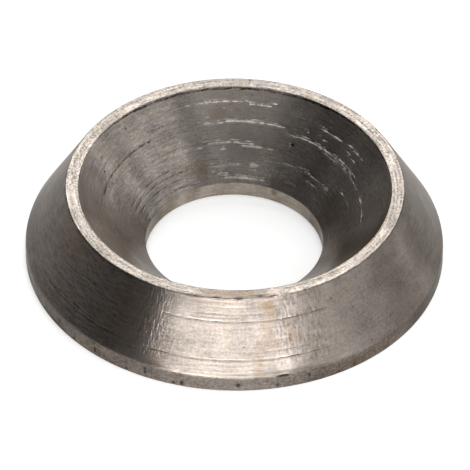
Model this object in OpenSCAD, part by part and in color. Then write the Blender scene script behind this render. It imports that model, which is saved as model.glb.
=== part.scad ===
// Turned cup washer: a solid steel ring that lets a countersunk screw clamp on a flat surface.
// It is turned from bar in one piece. The screw's head sits in the conical seat and its shank
// passes through the hole. The washer lies on its base, centred on the origin, mouth upwards.
// All lengths are in millimetres.

/* [Screw seat] */
// Diameter of the hole, clearance for the screw's shank
bore_d = 6.4; // [4.5:0.1:8]
// Height of the straight land at the foot of the hole
land_h = 0.57; // [0.3:0.01:1.2]
// Included angle of the conical seat
seat_angle = 88; // [80:1:100]
// Width of the flat rim round the mouth of the seat
rim_w = 0.47; // [0.2:0.01:0.9]

/* [Body] */
// Diameter of the base
base_d = 15.1; // [13.5:0.1:20]
// Height from the base to the rim
height = 3.1; // [2.2:0.05:4]
// Height of the straight edge round the base
edge_h = 0.6; // [0.3:0.05:1.2]

/* [Edge breaks] */
// Radius between the straight edge and the sloping flank
shoulder_break = 0.3; // [0.05:0.01:0.6]
// Radius on both edges of the rim
rim_break = 0.03; // [0.02:0.01:0.15]
// Radius between the seat and the land of the hole
seat_break = 0.05; // [0.02:0.01:0.3]
// Radius on the foot of the hole and of the straight edge
foot_break = 0.03; // [0.02:0.01:0.15]

/* [Hidden] */

bore_r = bore_d / 2;
base_r = base_d / 2;
// The seat's cone opens from the top of the land to the mouth at rim height
mouth_r = bore_r + (height - land_h) * tan(seat_angle / 2);
rim_r = mouth_r + rim_w;

// Straight steps that draw the arc of one rounded corner
arc_steps = 6;
// Facets of the revolved ring where it is drawn as a mesh
ring_facets = 180;
steel_grey = [0.56, 0.54, 0.52];

// Corners of the turned section, anticlockwise from the foot of the hole:
// [distance from the axis, height above the base, radius of the edge break]
section = [
    [bore_r, 0, foot_break],
    [base_r, 0, foot_break],
    [base_r, edge_h, shoulder_break],
    [rim_r, height, rim_break],
    [mouth_r, height, rim_break],
    [bore_r, land_h, seat_break],
];

function flat(corner) = [corner.x, corner.y];
function unit(v) = v / norm(v);

// Points along the arc that breaks the convex corner at b, between its neighbours a and c
function broken_corner(a, b, c, r) =
    let (
        to_a = unit(a - b),
        to_c = unit(c - b),
        corner_angle = acos(to_a * to_c),
        centre = b + unit(to_a + to_c) * r / sin(corner_angle / 2),
        first = b + to_a * r / tan(corner_angle / 2) - centre,
        first_angle = atan2(first.y, first.x),
        sweep = 180 - corner_angle
    )
    [
        for (i = [0:arc_steps])
            let (angle = first_angle + sweep * i / arc_steps)
            centre + r * [cos(angle), sin(angle)]
    ];

// The whole section with every corner broken by its own radius
function broken_section(corners) =
    let (n = len(corners))
    [
        for (i = [0:n - 1])
            each broken_corner(
                flat(corners[(i + n - 1) % n]),
                flat(corners[i]),
                flat(corners[(i + 1) % n]),
                corners[i].z
            )
    ];

// The washer, one solid ring revolved from its section
module cup_washer() {
    color(steel_grey)
        rotate_extrude($fn = ring_facets)
            polygon(broken_section(section));
}

cup_washer();
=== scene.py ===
import math

import bpy
import numpy as np
from mathutils import Matrix, Vector


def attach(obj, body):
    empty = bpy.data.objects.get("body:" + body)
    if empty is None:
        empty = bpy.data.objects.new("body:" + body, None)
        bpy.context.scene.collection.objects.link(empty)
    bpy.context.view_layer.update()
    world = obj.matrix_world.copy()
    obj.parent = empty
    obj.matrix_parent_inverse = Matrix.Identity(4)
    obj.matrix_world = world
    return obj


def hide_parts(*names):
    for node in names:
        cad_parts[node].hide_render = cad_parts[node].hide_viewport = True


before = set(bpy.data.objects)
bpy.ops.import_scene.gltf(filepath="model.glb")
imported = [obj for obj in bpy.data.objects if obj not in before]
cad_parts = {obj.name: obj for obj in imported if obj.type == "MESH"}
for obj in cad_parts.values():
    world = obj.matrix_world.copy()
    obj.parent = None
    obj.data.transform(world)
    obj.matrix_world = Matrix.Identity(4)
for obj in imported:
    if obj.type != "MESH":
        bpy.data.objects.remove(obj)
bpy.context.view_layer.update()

# Cup washer
# The real piece is one solid ring of plain steel, turned from bar on a lathe in one piece.
# The cutting tool left round marks all over it, and it lies loose on its flat base.
MM = 0.001
MICRON = 0.000001
# The faces of the turned section, in order round it from the foot of the hole
FACES = ("base", "edge", "flank", "rim", "seat", "land")
# The gap between the mesh's rings on each face, in mm, and the number of its columns round the axis
ring_gap = {"base": 1.5, "edge": 0.04, "flank": 0.04, "rim": 0.04, "seat": 0.04, "land": 0.05}
around_count = 440
random = np.random.default_rng(7)


def turned_section(node):
    """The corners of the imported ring's section, as radius and height, round from the foot of the hole.

    Points closer than a few microns count once, and points along a straight side are left out.
    """
    micron_digits = 6
    same_point = 3 * MICRON
    least_bend = math.radians(1)
    places = np.array([vertex.co for vertex in node.data.vertices])
    radius_and_height = np.column_stack([np.hypot(places[:, 0], places[:, 1]), places[:, 2]])
    corners = np.unique(np.round(radius_and_height, micron_digits), axis=0)
    middle = (corners.min(0) + corners.max(0)) / 2
    turn = np.arctan2(corners[:, 1] - middle[1], corners[:, 0] - middle[0])
    corners = corners[np.argsort(turn)]
    foot_of_hole = np.lexsort((corners[:, 0], corners[:, 1]))[0]
    corners = np.roll(corners, -foot_of_hole, axis=0)
    to_next = np.roll(corners, -1, axis=0) - corners
    corners = corners[np.linalg.norm(to_next, axis=1) > same_point]
    ahead = np.roll(corners, -1, axis=0) - corners
    ahead /= np.linalg.norm(ahead, axis=1)[:, None]
    behind = np.roll(ahead, 1, axis=0)
    bend = np.abs(behind[:, 0] * ahead[:, 1] - behind[:, 1] * ahead[:, 0])
    return corners[bend > math.sin(least_bend)]


corners = turned_section(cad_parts["cup_washer"])
side_length = np.linalg.norm(np.roll(corners, -1, axis=0) - corners, axis=1)
side_start = np.concatenate([[0.0], np.cumsum(side_length)])
# The six longest sides of the section are its straight faces, and the rest are rounded corners
face_sides = np.sort(np.argsort(side_length)[-len(FACES):])
face_of_side = dict(zip(face_sides, FACES))
face_start = {face: side_start[side] for side, face in face_of_side.items()}
face_length = {face: side_length[side] for side, face in face_of_side.items()}

section = []
for side, (start, end) in enumerate(zip(corners, np.roll(corners, -1, axis=0))):
    steps = 1
    if side in face_of_side:
        steps = max(1, round(side_length[side] / (ring_gap[face_of_side[side]] * MM)))
    section.extend(start + (end - start) * step / steps for step in range(steps))
section = np.array(section)
ring_count = len(section)
ring_step = np.linalg.norm(np.roll(section, -1, axis=0) - section, axis=1)
# How far each ring lies along the section, and last the whole way round it
along = np.concatenate([[0.0], np.cumsum(ring_step)])
# The way into the steel at each ring, square to the section
run = np.roll(section, -1, axis=0) - np.roll(section, 1, axis=0)
inwards = np.column_stack([-run[:, 1], run[:, 0]]) / np.linalg.norm(run, axis=1)[:, None]


def nearest_face(place):
    """The face that a place along the section lies on, or is next to where a corner is rounded."""
    def outside(face):
        from_start = place - face_start[face]
        return max(-from_start, from_start - face_length[face])

    return min(FACES, key=outside)


ring_face = np.array([nearest_face(place) for place in along[:-1]])
angle = np.arange(around_count) * 2 * math.pi / around_count
degrees = np.degrees(angle)
cut_depth = np.zeros((ring_count, around_count))
# Masks painted on the mesh: dirt with painted shadow lines, painted shade, tears, stains and painted light
dirt_and_shadow = np.zeros_like(cut_depth)
painted_shade = np.zeros_like(cut_depth)
tear = np.zeros_like(cut_depth)
stain = np.zeros_like(cut_depth)
painted_light = np.zeros_like(cut_depth)


def turn_from(middle):
    """How far each column of the mesh stands from a place round the washer, in degrees."""
    return np.abs((degrees - middle + 180) % 360 - 180)


def arc(first, last, fade=2.0):
    """1 along an arc of degrees round the washer, falling to 0 at both its ends."""
    return np.clip(((last - first) / 2 - turn_from((first + last) / 2)) / fade + 0.5, 0, 1)


def ragged(least, patches):
    """Strengths round the washer, from least to 1, that change at random from patch to patch."""
    strengths = random.uniform(least, 1, patches)
    return np.interp(degrees, np.arange(patches) * 360 / patches, strengths, period=360)


def across(face, place, half_width):
    """1 on the ring nearest to a place on a face, in mm from the face's start, and 0 half a width away."""
    centre = along[np.argmin(np.abs(along[:-1] - face_start[face] - place * MM))]
    return np.clip(1 - np.abs(along[:-1] - centre) / (half_width * MM), 0, 1)


def score(mask, face, place, first, last, strength, half_width, depth, least):
    """Cut a line along an arc of a face, depth mm deep, and note its strength in a mask."""
    patches = 180
    line = np.outer(across(face, place, half_width), arc(first, last) * ragged(least, patches))
    np.maximum(cut_depth, line * depth * MM, out=cut_depth)
    np.maximum(mask, line * strength, out=mask)


def round_spot(face, place, middle, half_length, half_turn):
    """A cone that rises from 0 at its rim to 1 at a place on a face."""
    off_along = (along[:-1] - face_start[face] - place * MM) / (half_length * MM)
    off_round = turn_from(degrees[np.argmin(turn_from(middle))]) / half_turn
    return np.clip(1 - np.hypot(off_along[:, None], off_round[None, :]), 0, 1)


def pit(face, place, middle, half_length, half_turn, strength, depth):
    """Sink a pit depth mm into the steel, dark with dirt but for its rim."""
    steepness = 2.5
    shape = round_spot(face, place, middle, half_length, half_turn)
    np.maximum(cut_depth, shape * depth * MM, out=cut_depth)
    np.maximum(dirt_and_shadow, np.minimum(shape * steepness, 1) * strength, out=dirt_and_shadow)


def patch(mask, face, place, middle, half_length, half_turn, strength, steepness):
    """Note a soft patch in a mask, on one face alone."""
    shape = round_spot(face, place, middle, half_length, half_turn) * (ring_face == face)[:, None]
    np.maximum(mask, np.minimum(shape * steepness, 1) * strength, out=mask)


# In the lists below, a place is in mm from the start of its face, lengths and depths are in mm,
# and turns are in degrees round the washer. Scored lines, dark with dirt, where a chip was dragged
# round, and dark lines under the rim's edges, some of them painted shadow: face, place, first and last
# degree, strength
scored_depth = 0.01
for face, place, first, last, strength in (
    ("flank", 0.57, 192, 236, 0.78),
    ("flank", 0.57, 244, 299, 0.8),
    ("flank", 0.57, 284, 300, 1.0),
    ("flank", 0.66, 198, 226, 0.7),
    ("flank", 0.64, 248, 258, 0.5),
    ("flank", 0.22, 262, 282, 0.42),
    ("flank", 0.85, 274, 293, 0.5),
    ("flank", 1.95, 247, 300, 0.85),
    ("flank", 2.10, 258, 272, 0.5),
    ("flank", 2.23, 257, 281, 0.55),
    ("flank", 2.45, 261, 300, 0.45),
    ("flank", 1.65, 203, 231, 0.4),
    ("flank", 1.10, 196, 226, 0.4),
    # Dark lines along the top of the flank, just under the rim's outer edge
    ("flank", 2.78, 165, 242, 0.9),
    ("flank", 2.80, 308, 357, 0.7),
    ("flank", 0.90, 20, 150, 0.5),
    ("flank", 1.80, 60, 170, 0.5),
    # Painted shadow: dark lines along the top of the seat, just under the rim's inner edge, where the rim
    # shades it
    ("seat", 0.00, -15, 205, 0.8),
    ("seat", 0.04, 35, 148, 1.0),
    ("seat", 0.08, 52, 132, 0.9),
    ("seat", 0.55, 150, 172, 0.6),
    ("seat", 0.82, 150, 176, 0.8),
    ("seat", 1.25, 118, 182, 0.8),
    ("seat", 1.29, 134, 173, 1.0),
    ("seat", 2.11, 128, 143, 0.7),
    ("seat", 2.55, 128, 165, 0.9),
    ("seat", 2.78, 120, 170, 1.0),
    ("seat", 3.00, 122, 168, 1.0),
    ("seat", 3.10, 126, 160, 0.9),
    ("seat", 3.18, 72, 104, 0.6),
    ("seat", 3.28, 120, 166, 1.0),
    ("seat", 1.56, 205, 330, 0.5),
    ("seat", 2.36, 230, 300, 0.5),
):
    score(dirt_and_shadow, face, place, first, last, strength,
          half_width=0.035, depth=scored_depth * strength, least=0.4)

# Torn lines in the seat, bright where the tool dug in, each with a fainter line on one side of it
# and a dark line of painted shadow under its lip on the other: place, first and last degree, strength
torn_depth = 0.014
faint_depth, faint_share, faint_gap, faint_overrun = 0.006, 0.75, 0.08, 2
shadow_share, shadow_gap = 0.35, 0.07
for place, first, last, strength in (
    (0.48, 73, 76, 1.00),
    (0.48, 85, 87, 0.90),
    (0.52, 87, 92, 0.90),
    (0.52, 92, 100, 1.10),
    (0.54, 100, 112, 0.80),
    (0.60, 75, 85, 0.95),
    (0.86, 91, 94, 0.90),
    (1.05, 101, 104, 1.05),
    (0.94, 104, 106, 0.80),
    (1.25, 67, 77, 1.00),
    (1.26, 77, 80, 1.20),
    (1.24, 80, 95, 1.10),
    (1.27, 95, 105, 1.00),
    (2.02, 88, 91, 1.60),
    (2.00, 92, 98, 1.25),
    (2.02, 98, 105, 1.15),
    (2.04, 80, 84, 1.00),
    (2.12, 70, 75, 1.00),
    (2.11, 76, 87, 1.25),
    (2.13, 107, 110, 1.15),
    (2.25, 95, 98, 1.05),
    (2.79, 76, 82, 1.30),
    (2.82, 87, 94, 1.00),
    (2.84, 95, 106, 0.95),
    (2.97, 77, 81, 1.10),
    (3.06, 101, 104, 1.30),
    (3.12, 93, 102, 1.00),
    (3.30, 71, 75, 1.20),
    (3.29, 75, 97, 1.25),
    (0.76, 25, 34, 1.00),
    (0.74, 34, 38, 1.05),
    (0.79, 40, 54, 1.10),
    (1.04, 27, 35, 1.05),
    (1.11, 47, 50, 1.10),
    (1.11, 56, 58, 1.25),
    (1.38, 21, 32, 0.95),
    (1.38, 32, 37, 1.35),
    (1.39, 37, 48, 1.10),
    (1.40, 48, 60, 1.45),
    (1.43, 60, 66, 0.95),
    (1.46, 24, 50, 0.85),
    (1.53, -8, 3, 1.00),
    (1.53, 5, 11, 1.15),
    (1.53, 15, 32, 1.00),
    (1.54, 36, 46, 1.15),
    (2.08, 10, 19, 0.90),
    (2.13, 20, 23, 1.45),
    (2.51, 30, 35, 1.00),
    (2.48, 35, 46, 1.00),
    (2.46, 46, 51, 1.25),
    (2.47, 51, 65, 0.90),
    (2.73, 38, 48, 1.00),
    (3.05, 50, 56, 0.95),
    (0.46, 158, 167, 0.7),
    (0.76, 158, 172, 0.7),
    (1.53, 163, 170, 0.75),
    (2.44, 126, 135, 0.7),
    (2.73, 146, 156, 0.75),
    (3.22, 127, 168, 0.7),
):
    score(tear, "seat", place, first, last, strength,
          half_width=0.06, depth=torn_depth * strength, least=0.6)
    score(tear, "seat", place - faint_gap, first, last + faint_overrun, faint_share * strength,
          half_width=0.05, depth=faint_depth * strength, least=0.2)
    # The dark line beside each torn line is painted shadow, cast by its lip
    score(dirt_and_shadow, "seat", place + shadow_gap, first, last, shadow_share * strength,
          half_width=0.05, depth=0, least=0.2)

# A rough burr on the outer edge of the rim, where the two cuts met at the front
score(tear, "rim", place=-0.02, first=254, last=290, strength=0.85, half_width=0.05, depth=0, least=0.4)

# Pits and nicks, dark at the bottom: face, place, degree, half length, half turn, strength, depth
for face, place, middle, half_length, half_turn, strength, depth in (
    ("seat", 1.76, 62, 0.09, 1.2, 1.0, 0.03),
    ("seat", 1.23, 137, 0.07, 1.0, 0.8, 0.015),
    ("seat", 1.29, 132, 0.06, 1.0, 0.8, 0.015),
    ("seat", 0.56, 157.5, 0.10, 0.9, 0.8, 0.015),
    ("seat", 0.94, 161, 0.08, 0.9, 0.8, 0.015),
    ("seat", 1.46, 162.5, 0.08, 0.9, 0.7, 0.015),
    ("seat", 1.01, 181, 0.10, 0.9, 0.7, 0.015),
    ("seat", 0.41, 138, 0.10, 0.9, 0.6, 0.015),
    ("flank", 0.83, 297.5, 0.05, 0.9, 0.65, 0.006),
    ("flank", 0.50, 321, 0.06, 0.9, 0.8, 0.006),
    ("flank", 0.10, 312, 0.07, 0.9, 0.7, 0.006),
    ("flank", 1.20, 330, 0.06, 0.9, 0.65, 0.006),
    ("flank", 2.20, 303, 0.05, 0.9, 0.7, 0.006),
    ("flank", 1.55, 309, 0.05, 0.9, 0.6, 0.006),
    ("flank", 2.50, 322, 0.05, 0.9, 0.7, 0.006),
    ("flank", 1.90, 341, 0.05, 0.9, 0.6, 0.006),
    ("flank", 1.05, 273.5, 0.06, 0.9, 0.7, 0.006),
    ("flank", 1.20, 232, 0.07, 0.9, 0.8, 0.006),
    ("flank", 1.80, 222, 0.05, 0.9, 0.7, 0.006),
    ("flank", 0.95, 214, 0.05, 0.9, 0.7, 0.006),
    ("flank", 2.30, 190, 0.05, 0.9, 0.7, 0.006),
    ("rim", 0.22, 20.5, 0.09, 0.9, 0.8, 0.015),
    ("edge", 0.10, 206, 0.14, 0.9, 0.7, 0.02),
    ("edge", 0.30, 214, 0.16, 0.9, 0.8, 0.02),
    ("edge", 0.08, 221, 0.12, 0.9, 0.8, 0.02),
    ("edge", 0.22, 229, 0.16, 0.9, 0.9, 0.03),
    ("edge", 0.06, 240, 0.12, 0.9, 0.8, 0.03),
    ("edge", 0.30, 245.5, 0.20, 0.9, 0.8, 0.03),
    ("edge", 0.05, 253.5, 0.12, 0.9, 0.8, 0.02),
    ("edge", 0.10, 256, 0.16, 0.9, 0.9, 0.03),
    ("edge", 0.20, 271.5, 0.13, 1.0, 1.0, 0.04),
    ("edge", 0.12, 282.5, 0.12, 0.9, 0.8, 0.02),
    ("flank", -0.12, 284.2, 0.07, 2.2, 1.0, 0.02),
    ("edge", 0.34, 291.5, 0.16, 0.9, 0.8, 0.03),
    ("edge", 0.06, 300.5, 0.12, 0.9, 0.7, 0.02),
    ("rim", 0.00, 256, 0.06, 3.0, 0.6, 0.01),
    ("rim", 0.03, 264.5, 0.07, 2.4, 0.75, 0.01),
    ("rim", 0.02, 271.5, 0.08, 2.4, 0.8, 0.01),
    ("rim", 0.08, 279, 0.08, 1.6, 0.7, 0.01),
    ("rim", 0.02, 283.5, 0.06, 1.6, 0.7, 0.01),
    ("edge", 0.12, 305, 0.14, 0.9, 0.7, 0.02),
    ("edge", 0.10, 60, 0.14, 0.9, 0.8, 0.02),
    ("edge", 0.25, 118, 0.14, 0.9, 0.8, 0.02),
):
    pit(face, place, middle, half_length, half_turn, strength, depth)

# Painted shade: soft patches where the steel's colour is darkened towards the dirt colour so it looks less
# lit, as on the dark left of the flank, and where it breaks up the bright line along the shoulder: face,
# place, degree, half length, half turn, strength
for face, place, middle, half_length, half_turn, strength in (
    ("flank", 1.60, 213, 5.00, 34.0, 0.60),
    ("flank", 2.60, 212, 1.60, 22.0, 0.66),
    ("flank", 2.10, 233, 3.20, 14.0, 0.40),
    ("flank", 2.75, 254, 0.50, 8.0, 0.30),
    ("flank", 1.80, 176, 4.00, 22.0, 0.78),
    ("flank", 1.50, 4, 4.40, 26.0, 0.68),
    ("flank", 1.80, 301, 4.00, 6.0, 0.12),
    ("flank", 2.70, 302, 0.50, 6.0, 0.25),
    ("flank", -0.07, 281, 0.20, 19.0, 0.65),
    ("flank", -0.07, 248, 0.20, 5.0, 0.50),
    ("rim", 0.25, 347, 0.80, 14.0, 0.24),
    ("rim", 0.25, 5, 0.80, 10.0, 0.20),
    ("rim", 0.25, 212, 0.80, 36.0, 0.20),
    ("rim", 0.25, 326, 0.80, 8.0, 0.14),
    ("rim", 0.25, 58, 0.80, 10.0, 0.16),
    ("rim", 0.25, 144, 0.80, 8.0, 0.20),
    ("rim", 0.25, 90, 0.80, 16.0, 0.14),
    ("rim", 0.20, 270, 0.60, 15.0, 0.34),
    ("edge", 0.30, 346, 1.20, 24.0, 0.65),
    ("edge", 0.30, 352, 1.20, 15.0, 0.95),
    ("edge", 0.30, 203, 1.20, 18.0, 0.35),
    ("seat", 0.80, 85, 2.20, 21.0, 0.36),
    ("seat", 0.30, 178, 1.30, 22.0, 0.36),
    ("seat", 0.50, 152, 1.20, 5.0, 0.20),
    ("seat", 3.30, 320, 1.40, 24.0, 0.75),
    ("seat", 3.30, 218, 1.20, 18.0, 0.55),
    ("land", 0.30, 5, 1.00, 40.0, 0.60),
    ("land", 0.30, 172, 1.00, 34.0, 0.45),
):
    patch(painted_shade, face, place, middle, half_length, half_turn, strength, steepness=3.0)

# Brown stains, the start of rust: face, place, degree, half length, half turn, strength
for face, place, middle, half_length, half_turn, strength in (
    ("flank", 2.50, 281.5, 0.32, 3.2, 1.0),
    ("flank", 2.20, 282, 0.60, 2.2, 0.6),
    ("flank", 1.70, 281, 0.90, 3.0, 0.4),
    ("flank", 1.35, 288, 0.55, 3.5, 0.5),
    ("flank", 1.00, 281, 0.40, 5.0, 0.35),
    ("flank", 0.30, 277.5, 0.70, 1.8, 0.55),
    ("flank", 0.20, 247, 0.60, 3.0, 0.45),
    ("flank", 2.70, 266, 0.25, 12.0, 0.3),
    ("flank", 1.20, 328, 1.40, 4.5, 0.15),
    ("flank", 0.40, 332, 0.30, 6.0, 0.2),
    ("flank", 2.30, 205, 0.60, 14.0, 0.4),
    ("flank", 1.60, 236, 1.60, 12.0, 0.3),
    ("rim", 0.10, 270, 0.50, 17.0, 0.55),
    ("rim", 0.47, 318, 0.10, 45.0, 0.35),
    ("seat", 0.12, 320, 0.45, 45.0, 1.0),
    ("seat", 2.30, 334, 1.80, 24.0, 0.5),
    ("seat", 2.86, 113, 0.50, 8.0, 0.5),
    ("seat", 1.00, 212, 2.20, 32.0, 0.35),
    ("seat", 0.56, 330, 1.80, 32.0, 0.35),
    ("seat", 2.76, 15, 0.80, 15.0, 0.5),
    ("seat", 1.56, -2, 1.60, 14.0, 0.3),
    ("seat", 3.26, 62, 0.40, 8.0, 0.5),
    ("seat", 0.91, 97, 0.30, 5.0, 0.3),
    ("seat", 2.01, 73, 0.20, 5.0, 0.4),
    ("land", 0.12, 63.5, 0.22, 3.0, 0.9),
    ("edge", 0.20, 310, 0.40, 18.0, 0.5),
    ("edge", 0.20, 232, 0.40, 12.0, 0.25),
):
    patch(stain, face, place, middle, half_length, half_turn, strength, steepness=1.6)

# Painted light: soft patches where the steel's colour is lifted so it looks more lit, as for the highlights
# along the shoulder at the front of the flank and broad patches on the seat: face, place, degree, half
# length, half turn, strength
for face, place, middle, half_length, half_turn, strength in (
    ("flank", 0.05, 254.5, 0.18, 2.0, 0.7),
    ("flank", 0.05, 268, 0.25, 14.0, 0.4),
    ("flank", 0.30, 287, 0.50, 6.0, 1.2),
    ("flank", 0.50, 291.5, 0.25, 1.6, 1.2),
    ("flank", 1.45, 276, 0.60, 6.0, 0.35),
    ("flank", 2.10, 275.2, 0.16, 1.2, 0.7),
    ("flank", 1.90, 288, 0.25, 3.0, 0.4),
    ("flank", 0.90, 287.5, 1.10, 6.0, 1.0),
    ("flank", 2.20, 288.5, 0.60, 4.0, 0.7),
    ("flank", 2.60, 271, 0.50, 5.0, 0.5),
    ("flank", 1.20, 247, 1.50, 4.0, 0.7),
    ("rim", 0.20, 284, 0.22, 2.5, 0.35),
    ("rim", 0.10, 291, 0.25, 2.5, 0.4),
    ("rim", 0.40, 95, 0.14, 40.0, 0.2),
    ("seat", 1.76, 2, 2.80, 26.0, 1.0),
    ("seat", 0.80, 356, 2.40, 22.0, 2.8),
    ("seat", 2.30, 178, 2.10, 22.0, 0.85),
    ("seat", 1.80, 139, 0.90, 6.0, 0.6),
    ("seat", 0.90, 205, 2.00, 26.0, 1.6),
):
    patch(painted_light, face, place, middle, half_length, half_turn, strength, steepness=1.6)

# Fine shallow lines at random places on every turned face: face, how many
shortest_turn, longest_turn = 8, 70
shallowest_um, deepest_um = 0.8, 4
for face, count in (("flank", 90), ("seat", 120), ("rim", 8), ("edge", 10), ("land", 10)):
    for place in random.uniform(0, face_length[face] / MM, count):
        first = random.uniform(0, 360)
        last = first + random.uniform(shortest_turn, longest_turn)
        strengths = arc(first, last) * ragged(least=0.2, patches=200)
        line = np.outer(across(face, place, half_width=0.042), strengths)
        depth_um = random.uniform(shallowest_um, deepest_um)
        np.maximum(cut_depth, line * depth_um * MICRON, out=cut_depth)

# How much the tool shook, which left short marks up and down the flank: first and last degree, amount
shaken_all_over = 0.25
shaken = np.full_like(cut_depth, shaken_all_over)
flank_band = across("flank", 1.6, half_width=1.3) > 0
for first, last, amount in (
    (239, 250, 1.7),
    (250, 282, 0.5),
    (282, 299, 1.35),
):
    np.maximum(shaken, np.outer(flank_band, arc(first, last, fade=5.0) * amount), out=shaken)

radius = section[:, 0:1] + inwards[:, 0:1] * cut_depth
height = section[:, 1:2] + inwards[:, 1:2] * cut_depth
places = np.stack([radius * np.cos(angle), radius * np.sin(angle), height], axis=-1)

# The mesh is unwrapped with the turn round the washer one way and the section the other
faces = []
face_map = []
for ring in range(ring_count):
    after = (ring + 1) % ring_count
    for step in range(around_count):
        ahead = (step + 1) % around_count
        faces.append((
            ring * around_count + step,
            ring * around_count + ahead,
            after * around_count + ahead,
            after * around_count + step,
        ))
        low, high = along[ring] / along[-1], along[ring + 1] / along[-1]
        left, right = step / around_count, (step + 1) / around_count
        face_map.extend([(left, low), (right, low), (right, high), (left, high)])

washer_mesh = bpy.data.meshes.new("turned_washer")
washer_mesh.from_pydata(places.reshape(-1, 3).tolist(), [], faces)
unwrapped = washer_mesh.uv_layers.new(name="OFBake")
unwrapped.data.foreach_set("uv", np.array(face_map, np.float32).ravel())
profile = np.repeat(along[:-1, None] / MM, around_count, axis=1)
# The masks go on the mesh as attributes: dirt also holds painted shadow lines, and two of the masks are
# painted shade and painted light
painted_masks = {
    "profile_mm": profile, "dirt_and_shadow": dirt_and_shadow, "painted_shade": painted_shade, "tear": tear,
    "stain": stain, "painted_light": painted_light, "shaken": shaken,
}
for name, values in painted_masks.items():
    layer = washer_mesh.attributes.new(name, "FLOAT", "POINT")
    layer.data.foreach_set("value", values.ravel().astype(np.float32))
washer_mesh.shade_smooth()
washer_mesh.validate()


def add_node(tree, kind, inputs=None, **settings):
    """A new node with its settings, each of its inputs linked to a socket or set to a value."""
    node = tree.nodes.new(kind)
    for name, value in settings.items():
        setattr(node, name, value)
    for name, value in (inputs or {}).items():
        if isinstance(value, bpy.types.NodeSocket):
            tree.links.new(value, node.inputs[name])
        else:
            node.inputs[name].default_value = value
    return node


def calculate(tree, operation, *values):
    """The result of one sum on two or three values."""
    return add_node(tree, "ShaderNodeMath", dict(enumerate(values)), operation=operation).outputs[0]


def remap(tree, value, low, high, to_low, to_high):
    """A value's range from low to high, stretched to another range and held inside it."""
    ends = {"Value": value, "From Min": low, "From Max": high, "To Min": to_low, "To Max": to_high}
    return add_node(tree, "ShaderNodeMapRange", ends).outputs["Result"]


def blend(tree, share, first, second):
    """The first colour, turned into the second by a share."""
    return add_node(tree, "ShaderNodeMix", {0: share, 6: first, 7: second}, data_type="RGBA").outputs[2]


def painted(tree, name):
    """One of the masks painted on the mesh."""
    return add_node(tree, "ShaderNodeAttribute", attribute_name=name).outputs["Fac"]


def broken_up(tree, name, bits, low, high):
    """A painted mask with edges broken up by noise, from 0 at a low sum of the two to 1 at a high one."""
    mask = painted(tree, name)
    ragged_mask = remap(tree, calculate(tree, "ADD", mask, bits), low, high, to_low=0, to_high=1)
    not_faint = remap(tree, mask, low=0.1, high=0.3, to_low=0, to_high=1)
    return calculate(tree, "MULTIPLY", ragged_mask, not_faint)


VALUE = "NodeSocketFloat"
COLOUR = "NodeSocketColor"


def new_group(name, inputs, outputs):
    """An empty node group with sockets of the types given by name, and the nodes that hold them."""
    group = bpy.data.node_groups.new(name, "ShaderNodeTree")
    for socket, kind in inputs.items():
        group.interface.new_socket(socket, in_out="INPUT", socket_type=kind)
    for socket, kind in outputs.items():
        group.interface.new_socket(socket, in_out="OUTPUT", socket_type=kind)
    return group, group.nodes.new("NodeGroupInput").outputs, group.nodes.new("NodeGroupOutput").inputs


# Noise that follows the turning, with so many marks round each radian and along each millimetre
turned_noise, asked, given = new_group(
    "turned_noise",
    {"Around": VALUE, "Along": VALUE},
    {"Value": VALUE},
)
place = add_node(turned_noise, "ShaderNodeTexCoord").outputs["Object"]
flat = add_node(turned_noise, "ShaderNodeVectorMath", {0: place, 1: (1, 1, 0)}, operation="MULTIPLY")
outwards = add_node(turned_noise, "ShaderNodeVectorMath", {0: flat.outputs[0]}, operation="NORMALIZE")
round_marks = {0: outwards.outputs[0], "Scale": asked["Around"]}
wound = add_node(turned_noise, "ShaderNodeVectorMath", round_marks, operation="SCALE")
run_along = calculate(turned_noise, "MULTIPLY", painted(turned_noise, "profile_mm"), asked["Along"])
lifted = add_node(turned_noise, "ShaderNodeCombineXYZ", {"Z": run_along})
noise_place = add_node(turned_noise, "ShaderNodeVectorMath", {0: wound.outputs[0], 1: lifted.outputs[0]})
noise = add_node(turned_noise, "ShaderNodeTexNoise", {"Vector": noise_place.outputs[0], "Scale": 1.0})
turned_noise.links.new(noise.outputs["Fac"], given["Value"])


def marks(tree, around, along_mm):
    """Turned noise in a tree, from about -0.5 to 0.5."""
    middle_of_noise = 0.5
    counts = {"Around": around, "Along": along_mm}
    value = add_node(tree, "ShaderNodeGroup", counts, node_tree=turned_noise).outputs["Value"]
    return calculate(tree, "SUBTRACT", value, middle_of_noise)


# What turning leaves on every face: long lines, short torn dashes, marks of a shaking tool, and grain.
# Tone runs from dull to bright and Tint from cool to warm, and Bits breaks up what is painted on.
turned_marks, strength, result = new_group(
    "turned_marks",
    {"Lines": VALUE, "Dashes": VALUE, "Chatter": VALUE, "Grain": VALUE, "Clouds": VALUE},
    {"Tone": VALUE, "Height": VALUE, "Bits": VALUE, "Tint": VALUE},
)
chatter_strength = calculate(turned_marks, "MULTIPLY", strength["Chatter"], painted(turned_marks, "shaken"))
lines = marks(turned_marks, around=3.0, along_mm=16.0)
dashes = marks(turned_marks, around=16.0, along_mm=14.0)
chatter = marks(turned_marks, around=75.0, along_mm=3.5)
grain = marks(turned_marks, around=70.0, along_mm=14.0)
clouds = marks(turned_marks, around=6.0, along_mm=1.2)
tint = marks(turned_marks, around=14.0, along_mm=3.5)
tone = calculate(turned_marks, "MULTIPLY", clouds, strength["Clouds"])
height_um = 0.0
for noise_value, amount, depth_um in (
    (lines, strength["Lines"], 4.0),
    (dashes, strength["Dashes"], 5.0),
    (chatter, chatter_strength, 5.0),
    (grain, strength["Grain"], 1.5),
):
    part = calculate(turned_marks, "MULTIPLY", noise_value, amount)
    tone = calculate(turned_marks, "ADD", tone, part)
    height_um = calculate(turned_marks, "MULTIPLY_ADD", part, depth_um, height_um)
turned_marks.links.new(tone, result["Tone"])
turned_marks.links.new(height_um, result["Height"])
turned_marks.links.new(calculate(turned_marks, "ADD", grain, dashes), result["Bits"])
turned_marks.links.new(tint, result["Tint"])
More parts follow.
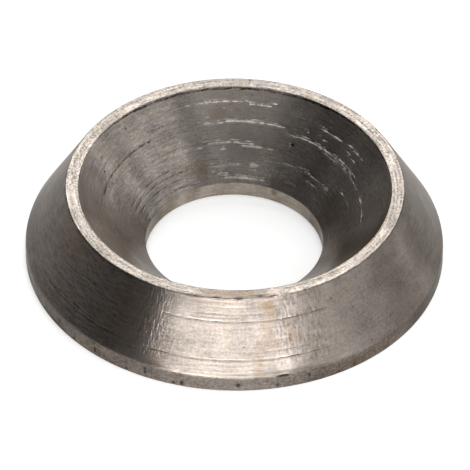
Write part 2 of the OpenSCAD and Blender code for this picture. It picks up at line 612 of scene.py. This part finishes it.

# What use leaves on every face: brown stains, dirt and torn lines, with painted shade, painted shadow lines
# and painted light laid over them, on steel between a dull and a pale colour. Torn steel is rough, and it
# scatters light more than it mirrors it.
torn_steel = (0.40, 0.385, 0.362, 1)
torn_roughness = 0.65
torn_metallic = 0.2
# The dirt colour, also used for painted shade and painted shadow lines
dirt_and_shade_colour = (0.026, 0.021, 0.018, 1)
rust_brown = (0.116, 0.077, 0.046, 1)
painted_light_gain = 0.45
cool_tint = (0.985, 0.99, 1.02, 1)
warm_tint = (1.03, 1.005, 0.945, 1)
steel_wear_and_painted_light, asked, given = new_group(
    "steel_wear_and_painted_light",
    {"Dull": COLOUR, "Pale": COLOUR, "Smoothest": VALUE, "Roughest": VALUE,
     "Tone": VALUE, "Bits": VALUE, "Tint": VALUE},
    {"Colour": COLOUR, "Roughness": VALUE, "Metallic": VALUE},
)
tone, bits = asked["Tone"], asked["Bits"]
torn = broken_up(steel_wear_and_painted_light, "tear", bits, low=0.45, high=0.95)
dirt_and_shadow_share = broken_up(steel_wear_and_painted_light, "dirt_and_shadow", bits, low=0.3, high=0.85)
shade_breakup = remap(steel_wear_and_painted_light, bits, low=-0.22, high=0.22, to_low=0.3, to_high=1.15)
painted_shade_share = calculate(steel_wear_and_painted_light, "MULTIPLY", painted(steel_wear_and_painted_light, "painted_shade"), shade_breakup)
rust_share = remap(steel_wear_and_painted_light, tone, low=-0.3, high=0.3, to_low=1, to_high=0.5)
stained = calculate(steel_wear_and_painted_light, "MULTIPLY", painted(steel_wear_and_painted_light, "stain"), rust_share)

paleness = remap(steel_wear_and_painted_light, tone, low=-0.5, high=0.5, to_low=0, to_high=1)
warmth = remap(steel_wear_and_painted_light, asked["Tint"], low=-0.2, high=0.2, to_low=0, to_high=1)
colour = blend(steel_wear_and_painted_light, paleness, asked["Dull"], asked["Pale"])
tinted = {0: 1.0, 6: colour, 7: blend(steel_wear_and_painted_light, warmth, cool_tint, warm_tint)}
colour = add_node(steel_wear_and_painted_light, "ShaderNodeMix", tinted, data_type="RGBA", blend_type="MULTIPLY").outputs[2]
# Painted light: the colour is lifted wherever its mask is painted
light_lift = calculate(steel_wear_and_painted_light, "MULTIPLY_ADD", painted(steel_wear_and_painted_light, "painted_light"), painted_light_gain, 1.0)
brightened = {0: colour, "Scale": light_lift}
colour = add_node(steel_wear_and_painted_light, "ShaderNodeVectorMath", brightened, operation="SCALE").outputs[0]
# Then painted shade, stains, dirt with painted shadow lines, and torn steel are blended over it in turn
for share, coat in ((painted_shade_share, dirt_and_shade_colour), (stained, rust_brown), (dirt_and_shadow_share, dirt_and_shade_colour), (torn, torn_steel)):
    colour = blend(steel_wear_and_painted_light, share, colour, coat)
roughness = remap(steel_wear_and_painted_light, tone, -0.4, 0.4, asked["Roughest"], asked["Smoothest"])
roughness = remap(steel_wear_and_painted_light, torn, 0, 1, roughness, torn_roughness)
steel_wear_and_painted_light.links.new(colour, given["Colour"])
steel_wear_and_painted_light.links.new(roughness, given["Roughness"])
steel_wear_and_painted_light.links.new(remap(steel_wear_and_painted_light, torn, 0, 1, 1, torn_metallic), given["Metallic"])

# At a glancing angle the dull steel mirrors a little less than all of the light, and makes it warmer
glancing_tint = (0.87, 0.84, 0.81, 1)
quarter_turn = 0.25


def turned_finish(name, dull, pale, smoothest, roughest, stretch, lines, dashes, chatter, grain, clouds):
    """Bare turned steel, from a dull to a pale colour, with its tool marks, its wear, and painted light and
    shade.

    Stretch is how far the tool marks draw out a highlight, and the last five are the marks' strengths.
    """
    finish = bpy.data.materials.new(name)
    finish.use_nodes = True
    tree = finish.node_tree
    strengths = {"Lines": lines, "Dashes": dashes, "Chatter": chatter, "Grain": grain, "Clouds": clouds}
    left_by_tool = add_node(tree, "ShaderNodeGroup", strengths, node_tree=turned_marks).outputs
    wear = {"Dull": dull, "Pale": pale, "Smoothest": smoothest, "Roughest": roughest}
    wear.update({socket: left_by_tool[socket] for socket in ("Tone", "Bits", "Tint")})
    worn_and_painted = add_node(tree, "ShaderNodeGroup", wear, node_tree=steel_wear_and_painted_light).outputs
    relief = {"Height": left_by_tool["Height"], "Distance": MICRON, "Strength": 1.0}
    bump = add_node(tree, "ShaderNodeBump", relief)

    steel = tree.nodes["Principled BSDF"]
    tree.links.new(worn_and_painted["Colour"], steel.inputs["Base Color"])
    tree.links.new(worn_and_painted["Roughness"], steel.inputs["Roughness"])
    tree.links.new(worn_and_painted["Metallic"], steel.inputs["Metallic"])
    tree.links.new(bump.outputs["Normal"], steel.inputs["Normal"])
    steel.inputs["Specular Tint"].default_value = glancing_tint
    steel.inputs["Anisotropic"].default_value = stretch
    steel.inputs["Anisotropic Rotation"].default_value = quarter_turn
    return finish


face_finish = {
    "base": turned_finish(
        "faced_base", dull=(0.085, 0.073, 0.065, 1), pale=(0.227, 0.200, 0.180, 1),
        smoothest=0.28, roughest=0.36, stretch=0.6,
        lines=1.0, dashes=0.5, chatter=0.0, grain=0.6, clouds=1.0,
    ),
    "edge": turned_finish(
        "turned_edge", dull=(0.075, 0.063, 0.056, 1), pale=(0.198, 0.175, 0.155, 1),
        smoothest=0.36, roughest=0.46, stretch=0.7,
        lines=0.3, dashes=0.7, chatter=3.6, grain=1.9, clouds=1.5,
    ),
    "flank": turned_finish(
        "turned_flank", dull=(0.085, 0.073, 0.065, 1), pale=(0.227, 0.200, 0.180, 1),
        smoothest=0.30, roughest=0.38, stretch=0.65,
        lines=0.3, dashes=0.4, chatter=1.0, grain=0.9, clouds=0.9,
    ),
    "rim": turned_finish(
        "faced_rim", dull=(0.048, 0.041, 0.037, 1), pale=(0.304, 0.273, 0.245, 1),
        smoothest=0.28, roughest=0.36, stretch=0.3,
        lines=1.0, dashes=0.8, chatter=0.8, grain=1.4, clouds=0.4,
    ),
    "seat": turned_finish(
        "turned_seat", dull=(0.110, 0.096, 0.086, 1), pale=(0.294, 0.265, 0.239, 1),
        smoothest=0.26, roughest=0.34, stretch=0.8,
        lines=0.7, dashes=0.9, chatter=0.1, grain=1.1, clouds=0.8,
    ),
    # Painted light: the land's dull and pale colours are lifted well above the other faces', standing in
    # for the light it would mirror from the floor inside the hole, which lies in shadow
    "land": turned_finish(
        "bored_land_with_painted_light", dull=(0.181, 0.157, 0.131, 1), pale=(0.435, 0.384, 0.327, 1),
        smoothest=0.30, roughest=0.40, stretch=0.6,
        lines=0.5, dashes=0.8, chatter=0.0, grain=0.8, clouds=1.2,
    ),
}

for face in FACES:
    washer_mesh.materials.append(face_finish[face])
ring_finish = [FACES.index(nearest_face(place)) for place in (along[:-1] + along[1:]) / 2]
washer_mesh.polygons.foreach_set("material_index", np.repeat(ring_finish, around_count).astype(np.int32))

washer = bpy.data.objects.new("turned_washer", washer_mesh)
bpy.context.scene.collection.objects.link(washer)
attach(washer, "root")
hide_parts("cup_washer")

# Floor
# A plain pale board that the washer lies on, wide enough to fill the view from every side.
# It glows a little to the camera and in the steel's reflections, so it looks white and keeps the shadow.
floor_reach = 1.2
floor_glow = 0.36
board_white = (0.72, 0.72, 0.72, 1)
board_roughness = 0.9
floor_mesh = bpy.data.meshes.new("floor")
floor_mesh.from_pydata(
    [(-floor_reach, -floor_reach, 0), (floor_reach, -floor_reach, 0),
     (floor_reach, floor_reach, 0), (-floor_reach, floor_reach, 0)],
    [], [(0, 1, 2, 3)],
)
floor_paint = bpy.data.materials.new("floor_paint")
floor_paint.use_nodes = True
floor_tree = floor_paint.node_tree
board = floor_tree.nodes["Principled BSDF"]
board.inputs["Base Color"].default_value = board_white
board.inputs["Roughness"].default_value = board_roughness
board.inputs["Specular IOR Level"].default_value = 0.0
board.inputs["Emission Color"].default_value = (1, 1, 1, 1)
ray = add_node(floor_tree, "ShaderNodeLightPath").outputs
seen = calculate(floor_tree, "MAXIMUM", ray["Is Camera Ray"], ray["Is Glossy Ray"])
seen = calculate(floor_tree, "MAXIMUM", seen, ray["Is Transmission Ray"])
glow = calculate(floor_tree, "MULTIPLY", seen, floor_glow)
floor_tree.links.new(glow, board.inputs["Emission Strength"])
floor_mesh.materials.append(floor_paint)
floor = bpy.data.objects.new("floor", floor_mesh)
bpy.context.scene.collection.objects.link(floor)

# Lights
# Plain studio softboxes round the washer, and a dim grey room.
# The low ones in front make the bright band down the flank, and the rest light the seat and the rim.
room_grey = (0.02, 0.02, 0.02, 1)
room = bpy.data.worlds.new("room")
room.use_nodes = True
room.node_tree.nodes["Background"].inputs["Color"].default_value = room_grey
bpy.context.scene.world = room


def softbox(name, turn, rise, distance, width, height, brightness):
    """A rectangular lamp that faces the washer, placed by its turn and rise in degrees, sizes in metres."""
    lamp = bpy.data.lights.new(name, "AREA")
    lamp.shape = "RECTANGLE"
    lamp.size = width
    lamp.size_y = height
    lamp.energy = brightness * math.pi * width * height
    box = bpy.data.objects.new(name, lamp)
    bpy.context.scene.collection.objects.link(box)
    turn, rise = math.radians(turn), math.radians(rise)
    way = Vector((math.cos(rise) * math.cos(turn), math.cos(rise) * math.sin(turn), math.sin(rise)))
    box.matrix_world = Matrix.Translation(way * distance) @ way.to_track_quat("Z", "Y").to_matrix().to_4x4()
    box.visible_camera = False


# Name, turn, rise, distance, width, height, brightness
for lamp_values in (
    ("top", 270, 88, 0.5, 0.30, 0.30, 4.60),
    ("front_low", 267, 4.6, 0.5, 0.60, 0.08, 29.11),
    ("front_middle", 270, 12.5, 0.5, 0.62, 0.075, 4.82),
    ("front_high", 266, 20.5, 0.5, 0.49, 0.075, 0.39),
    ("front_top", 266, 29, 0.5, 0.62, 0.085, 1.57),
    ("front_right", 315, 10, 0.55, 0.30, 0.18, 3.62),
    ("back_top", 92, 40, 0.5, 0.30, 0.18, 6.45),
    ("right_top", -5, 36, 0.5, 0.62, 0.25, 1.60),
    ("front_right_top", 305, 45, 0.5, 0.36, 0.12, 0.64),
    ("right_front_low", 345, 12, 0.55, 0.30, 0.12, 2.05),
    ("right_low", 44, 15, 0.55, 0.66, 0.21, 1.65),
    ("back_low", 90, 5, 0.55, 0.40, 0.08, 1.80),
    ("left_high", 200, 45, 0.5, 0.70, 0.10, 0.55),
    ("left_back", 157, 20, 0.55, 0.45, 0.22, 0.19),
):
    softbox(*lamp_values)

# Camera
# It looks down on the front of the washer from a long way off, through a long lens.
photo_side_px = 470
camera_elevation = math.radians(40.77)
camera_roll = math.radians(0.744)
camera_distance = 0.3675
lens_px = 10165
aim = Vector((0.02 * MM, 0, 0.83 * MM))
view_back = Vector((0, -math.cos(camera_elevation), math.sin(camera_elevation)))
camera_data = bpy.data.cameras.new("camera")
camera_data.sensor_width = 36
camera_data.lens = lens_px / photo_side_px * camera_data.sensor_width
camera_data.clip_start = 0.01
camera = bpy.data.objects.new("camera", camera_data)
bpy.context.scene.collection.objects.link(camera)
facing = (-view_back).to_track_quat("-Z", "Y").to_matrix().to_4x4()
camera.matrix_world = (
    Matrix.Translation(aim + view_back * camera_distance)
    @ facing
    @ Matrix.Rotation(camera_roll, 4, "Z")
)
bpy.context.scene.camera = camera
bpy.context.scene.view_settings.view_transform = "Standard"
